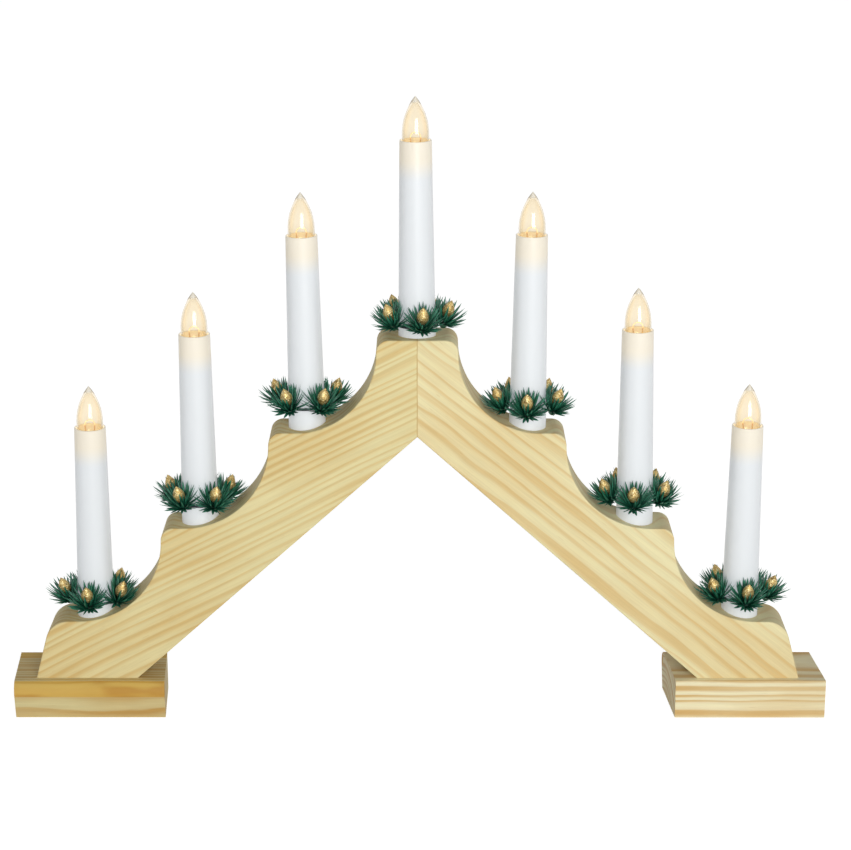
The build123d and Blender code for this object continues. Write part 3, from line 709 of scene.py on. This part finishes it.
def cup_surface(cup, axis, side, face, wreath):
    """Points of a sprig's rounded cup and the stem that rises from its flat top to the bud."""
    radius = wreath.cup_radius + wreath.cup_gap
    tilt = np.linspace(-math.pi / 2 + CUP_OPENING, math.asin(CUP_TOP), CUP_ROWS)
    turn = np.linspace(0, 2 * math.pi, CUP_COLUMNS + 1)[:-1]
    stem = wreath.stem_radius
    reach = np.append(radius * np.cos(tilt), (stem, stem, 0.05 * stem))
    rise = np.append(radius * np.sin(tilt), (radius * math.sin(tilt[-1]), wreath.cup_seat, wreath.cup_seat))
    out = np.cos(turn)[:, None] * side + np.sin(turn)[:, None] * face
    return cup + reach[:, None, None] * out[None] + rise[:, None, None] * axis


def capped(surfaces):
    """Points and faces of separate tubes of points, each closed at both ends."""
    points, faces, start = [], [], 0
    for surface in surfaces:
        rows, columns = surface.shape[:2]
        points.append(surface.reshape(-1, 3))
        faces += grid_faces(rows, columns, start)
        faces.append(list(range(start + columns - 1, start - 1, -1)))
        faces.append(list(range(start + (rows - 1) * columns, start + rows * columns)))
        start += rows * columns
    return np.concatenate(points), faces


def bud_surface(seat, axis, side, face, wreath):
    """Points of one bud: a pointed egg whose lower half is covered in small beads.

    The radius is r * sin(pi v ** 0.8) ** (0.6 + 0.3 v) for v from 0 at the seat to 1 at the tip. The beads
    add a bead height times cos squared round the bud and sin squared along it, with every other row half a
    bead on.
    """
    v = np.linspace(*BUD_SPAN, BUD_ROWS)[:, None]
    turn = np.linspace(0, 2 * math.pi, BUD_COLUMNS + 1)[None, :-1]
    radius = wreath.bud_radius * np.sin(np.pi * v ** 0.8) ** (0.6 + 0.3 * v)
    row = v * BEAD_ROWS
    offset = np.pi / 2 * (np.floor(row) % 2)
    beads = np.cos(turn * BEADS / 2 + offset) ** 2 * np.sin(np.pi * row) ** 2
    fade = np.clip((BEADS_END - v) / BEADS_FADE, 0, 1)
    radius = radius - wreath.bead_height + beads * fade * wreath.bead_height
    radius = np.maximum(radius, BUD_LEAST)
    out = np.cos(turn)[..., None] * side + np.sin(turn)[..., None] * face
    return seat + radius[..., None] * out + (v * wreath.bud_length)[..., None] * axis


class CANDLEARCH_OT_wood(bpy.types.Operator):
    """Give the arms and feet their pine"""
    bl_idname = "candle_arch.wood"
    bl_label = "Dress the wood"

    def execute(self, context):
        wood = context.scene.candle_arch_wood
        arms = (
            ("left_arm", wood.left_pale, wood.left_band, 0.7, wood.left_grain, (40, 60), 2.9, 3.0, 1),
            ("right_arm", wood.right_pale, wood.right_band, 0.65, wood.right_grain, (60, 40), 5.0, 8.0, 2))
        for node, pale, band, depth, grain, pith, spacing, warp, seed in arms:
            shades = (tuple(pale), tuple(band))
            dress(node, pine(node + "_pine", wood, shades, depth, grain, pith, spacing, warp, seed))
        feet = (
            ("left_foot", wood.left_foot_pale, wood.left_foot_band, 1, BAND_WIDTH, (9, 34), 3.0, 3),
            ("right_foot", wood.right_foot_pale, wood.right_foot_band, -1, 0, (-22, 10), 3.2, 4))
        for node, pale, band, facing, band_width, pith, spacing, seed in feet:
            shades = (tuple(pale), tuple(band))
            low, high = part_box(node)
            depth = (high.y - low.y) / MM - NOSE_REACH
            plain_side = high.y if facing > 0 else low.y
            centre = plain_side / MM - facing * depth / 2
            strip = (centre, facing, depth / 2, high.z / MM, band_width)
            dress(node, pine(node + "_pine", wood, shades, 1.0, 0.0, pith, spacing, FOOT_WARP, seed, strip))
        return {"FINISHED"}


class CANDLEARCH_OT_fastenings(bpy.types.Operator):
    """Give the dowels, screws, staples and wires their finish"""
    bl_idname = "candle_arch.fastenings"
    bl_label = "Dress the fastenings"

    def execute(self, context):
        wood = context.scene.candle_arch_wood
        shades = (tuple(wood.right_band), tuple(wood.fleck))
        dress("mitre_dowels", pine("dowel_beech", wood, shades, 0.6, 0.0, (10, 30), 1.2, 1.0, 5))
        dress("foot_screws", metal("screw_steel", srgb("B9BCC0"), 0.32, 0.9))
        dress("wire_staples", metal("staple_steel", srgb("AEB1B5"), 0.38, 0.7))
        dress("wiring", plastic("wire_insulation", srgb("E9E9E4"), 0.42))
        return {"FINISHED"}


class CANDLEARCH_OT_candles(bpy.types.Operator):
    """Give the candle tubes and what they hold their finish"""
    bl_idname = "candle_arch.candles"
    bl_label = "Dress the candles"

    def execute(self, context):
        candle = context.scene.candle_arch_candle
        bulb = context.scene.candle_arch_bulb
        for index in CANDLES:
            material = lit_tube(f"lit_tube_{index}", candle, rim_centre(index), candle_lean(index))
            dress(f"candle_tube_{index}", material)
        dress("lamp_holders", plastic("holder_plastic", srgb("EDEBE2"), 0.45))
        dress("socket_shells", metal("socket_brass", tuple(bulb.brass), 0.28, 0.8))
        dress("centre_contacts", metal("contact_brass", tuple(bulb.brass), 0.3, 0.8))
        return {"FINISHED"}


class CANDLEARCH_OT_bulbs(bpy.types.Operator):
    """Give the bulbs their glass, caps and filaments"""
    bl_idname = "candle_arch.bulbs"
    bl_label = "Dress the bulbs"

    def execute(self, context):
        bulb = context.scene.candle_arch_bulb
        cap = metal("cap_brass", tuple(bulb.brass), 0.26, 0.9)
        for index in CANDLES:
            place, lean = rim_centre(index), candle_lean(index)
            height = (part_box(f"bulb_glass_{index}")[1].z - place.z) / MM
            dress(f"bulb_glass_{index}", bulb_glass(f"flame_glass_{index}", bulb, place, lean, height))
            dress(f"bulb_filament_{index}", filament(f"filament_{index}", bulb, place, lean))
            dress(f"bulb_cap_{index}", cap)
        return {"FINISHED"}


class CANDLEARCH_OT_needles(bpy.types.Operator):
    """Give each wreath its ring and its sprigs of flat needles"""
    bl_idname = "candle_arch.needles"
    bl_label = "Add the needles"

    def execute(self, context):
        wreath = context.scene.candle_arch_wreath
        rng = np.random.default_rng(wreath.seed)
        ring = plastic("ring_wire", tuple(wreath.wire), 0.4)
        material = needle_material(wreath)
        for index in CANDLES:
            dress(f"wreath_ring_{index}", ring)
            frames, up = sprig_frames(index, wreath)
            surfaces, shares = [], []
            for path, ray, inward in choose_needles(index, wreath, frames, up, rng):
                twist = rng.uniform(-TWIST_SPREAD, TWIST_SPREAD)
                surfaces.append(needle_surface(path, ray, inward, wreath, twist))
                # Painted light along a needle: painted shade at its root deep in the sprig, running to the
                # painted highlight at its tip
                shares.append(np.repeat(np.linspace(ROOT_HIGHLIGHT, 1, NEEDLE_RINGS), 4))
            for cup, axis in frames:
                side, face = sprig_sides(axis, up)
                ball = cup_surface(cup, axis, side, face, wreath)
                surfaces.append(ball)
                # The cup sits deepest in the sprig and takes the full painted shade
                shares.append(np.zeros(ball.shape[0] * ball.shape[1]))
            points, faces = capped(surfaces)
            piece = mesh_piece(f"needle_sprigs_{index}", points, faces, material, f"wreath_{index}")
            attribute = piece.data.attributes.new("highlight_share", "FLOAT", "POINT")
            attribute.data.foreach_set("value", np.concatenate(shares).astype(np.float32))
            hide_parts(f"wreath_needles_{index}")
        return {"FINISHED"}


class CANDLEARCH_OT_buds(bpy.types.Operator):
    """Set the beaded gold buds in their sprigs"""
    bl_idname = "candle_arch.buds"
    bl_label = "Add the buds"

    def execute(self, context):
        wreath = context.scene.candle_arch_wreath
        material = bud_material(wreath)
        for index in CANDLES:
            frames, up = sprig_frames(index, wreath)
            surfaces = []
            for cup, axis in frames:
                side, face = sprig_sides(axis, up)
                surfaces.append(bud_surface(cup + axis * wreath.cup_seat, axis, side, face, wreath))
            points, faces = capped(surfaces)
            piece = mesh_piece(f"gold_buds_{index}", points, faces, material, f"wreath_{index}")
            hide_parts(f"wreath_buds_{index}")
        return {"FINISHED"}


class CANDLEARCH_OT_stage(bpy.types.Operator):
    """Set the floor, the lamp, the world and the camera"""
    bl_idname = "candle_arch.stage"
    bl_label = "Set the stage"

    def execute(self, context):
        stage = context.scene.candle_arch_stage
        corners = [(x * FLOOR_HALF, y * FLOOR_HALF, -FLOOR_DROP)
                   for x, y in ((-1, -1), (1, -1), (1, 1), (-1, 1))]
        mesh = bpy.data.meshes.new("floor")
        mesh.from_pydata(corners, [], [[0, 1, 2, 3]])
        mesh.materials.append(floor_material(stage))
        floor = bpy.data.objects.new("floor", mesh)
        context.scene.collection.objects.link(floor)
        set_world(context.scene, stage)
        add_lamp("key", KEY_PLACE, KEY_TARGET, KEY_SIZE, stage.key_power)
        add_camera(context.scene, stage)
        context.scene.view_settings.view_transform = "Standard"
        return {"FINISHED"}


def needle_material(wreath):
    """Glossy dark green plastic with a painted highlight, lighter towards the needles' tips, and painted
    shade at their roots, uneven from sprig to sprig.
    """
    graph = Graph(bpy.data.materials.new("needle_plastic"))
    local = graph.place(scale=IN_MM)
    share = graph.put("ShaderNodeAttribute", {}, attribute_name="highlight_share").outputs["Fac"]
    uneven = graph.noise(graph.stretch(local, (0.35, 0.35, 0.35)), detail=3.0)
    # Painted highlight towards the tips and painted shade at the roots, broken up by noise
    light = graph.math("MULTIPLY", graph.fit(share, 0.2, 1.0, 0.08, 0.7),
                       graph.fit(uneven, 0.3, 0.7, 0.4, 1.3))
    tone = graph.mix(light, tuple(wreath.needle), tuple(wreath.needle_highlight))
    grain = graph.noise(graph.stretch(local, (2.5, 2.5, 2.5)), detail=2.0)
    return graph.finish(base_color=tone, roughness=graph.fit(uneven, 0.3, 0.7, 0.26, 0.42),
                        specular_ior_level=0.6, normal=graph.bump(grain, 0.00006, 0.5))


def bud_material(wreath):
    """Gold paint with glittering grains, worn to brown in places, with pale flecks on the grains that are
    painted glints.
    """
    graph = Graph(bpy.data.materials.new("bud_gold"))
    local = graph.place(scale=IN_MM)
    cells = graph.put("ShaderNodeTexVoronoi", {"Vector": local, "Scale": 2.6})
    worn = graph.fit(graph.noise(graph.stretch(local, (0.5, 0.5, 0.5)), detail=3.0), 0.42, 0.68)
    tone = graph.mix(graph.math("MULTIPLY", worn, 0.8), tuple(wreath.gold), tuple(wreath.gold_dark))
    # Painted glint: pale gold flecks on the glitter grains stand in for the light that they catch
    glint = graph.fit(graph.split(cells.outputs["Color"])[0], 0.68, 0.88)
    tone = graph.mix(graph.math("MULTIPLY", glint, 0.75), tone, srgb("F8EAB4"))
    rough = graph.fit(graph.split(cells.outputs["Color"])[1], 0.0, 1.0, 0.26, 0.5)
    return graph.finish(base_color=tone, metallic=0.5, roughness=rough,
                        normal=graph.bump(cells.outputs["Distance"], 0.0002, 0.45))


def floor_material(stage):
    """Pale floor that shows white to the camera and in gloss and glass, but for the object's shadow."""
    graph = Graph(bpy.data.materials.new("floor_white"))
    seen = graph.seen()
    cloud = graph.noise(graph.place(), scale=3.0, detail=2.0)
    tone = graph.mix(graph.fit(cloud, 0.3, 0.7, 0.0, 0.03), tuple(stage.floor), (0.8, 0.8, 0.8, 1.0))
    tone = graph.mix(graph.math("MULTIPLY", seen, 1 - stage.floor_shade), tone, (0, 0, 0, 1))
    diffuse = graph.put("ShaderNodeBsdfDiffuse", {"Color": tone}).outputs[0]
    strength = graph.math("MULTIPLY", seen, stage.floor_glow)
    glow = graph.put("ShaderNodeEmission", {"Color": (1, 1, 1, 1), "Strength": strength}).outputs[0]
    both = graph.put("ShaderNodeAddShader", {0: diffuse, 1: glow}).outputs[0]
    graph.put("ShaderNodeOutputMaterial", {"Surface": both})
    return graph.owner


def set_world(scene, stage):
    """Even light from all round, and plain white for the camera, glass and gloss."""
    scene.world = bpy.data.worlds.new("studio")
    graph = Graph(scene.world)
    level = graph.fit(graph.seen(), 0.0, 1.0, stage.world_light, 1.0, smooth=False)
    background = graph.put("ShaderNodeBackground", {"Color": (1, 1, 1, 1), "Strength": level})
    graph.put("ShaderNodeOutputWorld", {"Surface": background.outputs[0]})


def add_lamp(name, place, target, size, power):
    """Square soft lamp at a place, facing a target."""
    lamp = bpy.data.lights.new(name, "AREA")
    lamp.size = size
    lamp.energy = power
    thing = bpy.data.objects.new(name, lamp)
    thing.location = place
    thing.rotation_euler = (Vector(target) - Vector(place)).to_track_quat("-Z", "Y").to_euler()
    bpy.context.scene.collection.objects.link(thing)


def add_camera(scene, stage):
    """Camera at the photograph's place, tilted down to the object."""
    data = bpy.data.cameras.new("camera")
    data.sensor_width = 36.0
    data.lens = stage.lens
    data.clip_end = 50
    camera = bpy.data.objects.new("camera", data)
    camera.location = stage.camera_place
    camera.rotation_euler = (math.pi / 2 - stage.camera_tilt, 0, stage.camera_turn)
    scene.collection.objects.link(camera)
    scene.camera = camera


class CANDLEARCH_PT_panel(bpy.types.Panel):
    """Steps that dress the candle arch, in order"""
    bl_idname = "CANDLEARCH_PT_panel"
    bl_label = "Candle arch"
    bl_space_type = "VIEW_3D"
    bl_region_type = "UI"
    bl_category = "Candle arch"

    def draw(self, context):
        for group in SETTINGS:
            settings = getattr(context.scene, group)
            box = self.layout.box()
            for key in settings.__annotations__:
                box.prop(settings, key)
        for step in STEPS:
            self.layout.operator(step.bl_idname)


SETTINGS = {
    "candle_arch_wood": WoodSettings,
    "candle_arch_candle": CandleSettings,
    "candle_arch_bulb": BulbSettings,
    "candle_arch_wreath": WreathSettings,
    "candle_arch_stage": StageSettings,
}
STEPS = (CANDLEARCH_OT_wood, CANDLEARCH_OT_fastenings, CANDLEARCH_OT_candles, CANDLEARCH_OT_bulbs,
         CANDLEARCH_OT_needles, CANDLEARCH_OT_buds, CANDLEARCH_OT_stage)


def register():
    for group, settings in SETTINGS.items():
        bpy.utils.register_class(settings)
        setattr(bpy.types.Scene, group, PointerProperty(type=settings))
    for step in STEPS:
        bpy.utils.register_class(step)
    bpy.utils.register_class(CANDLEARCH_PT_panel)


def unregister():
    bpy.utils.unregister_class(CANDLEARCH_PT_panel)
    for step in reversed(STEPS):
        bpy.utils.unregister_class(step)
    for group, settings in SETTINGS.items():
        delattr(bpy.types.Scene, group)
        bpy.utils.unregister_class(settings)


def main():
    register()
    bpy.ops.candle_arch.wood()
    bpy.ops.candle_arch.fastenings()
    bpy.ops.candle_arch.candles()
    bpy.ops.candle_arch.bulbs()
    bpy.ops.candle_arch.needles()
    bpy.ops.candle_arch.buds()
    bpy.ops.candle_arch.stage()


if __name__ == "__main__":
    main()
